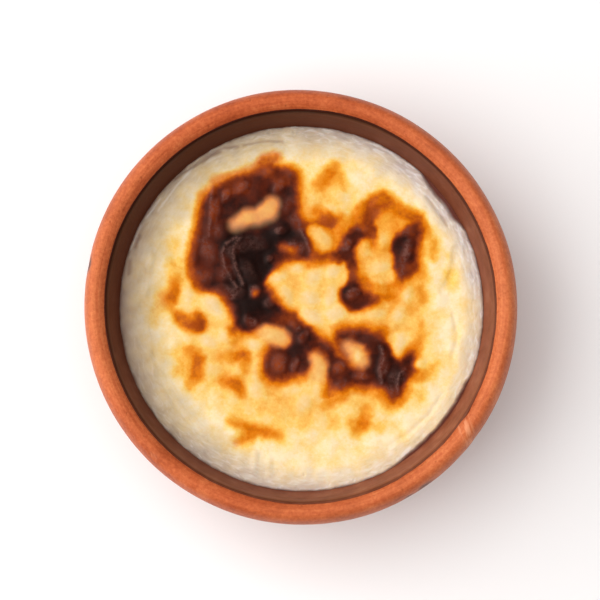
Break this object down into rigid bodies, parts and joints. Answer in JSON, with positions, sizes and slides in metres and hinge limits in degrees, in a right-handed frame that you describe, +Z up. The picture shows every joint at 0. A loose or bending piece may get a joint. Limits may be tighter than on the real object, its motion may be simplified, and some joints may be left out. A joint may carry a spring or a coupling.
{
  "type": "baked rice pudding in a terracotta bowl",
  "caption": "Oven-baked rice pudding with a scorched skin, set in its own small round terracotta bowl with a thick rounded rim.",
  "frame": {"origin": "middle of the bowl's base, on the surface it stands on", "axes": "+Z up along the bowl's axis, out of its mouth; +X and +Y lie level, and the most scorched side of the pudding is towards -X"},
  "size_m": [0.12, 0.12, 0.048],
  "materials": {
    "terracotta": "matte",
    "glaze": "gloss",
    "pudding": "satin"
  },
  "bodies": {
    "root": {"bowl": "terracotta", "pudding": "pudding"}
  },
  "joints": []
}
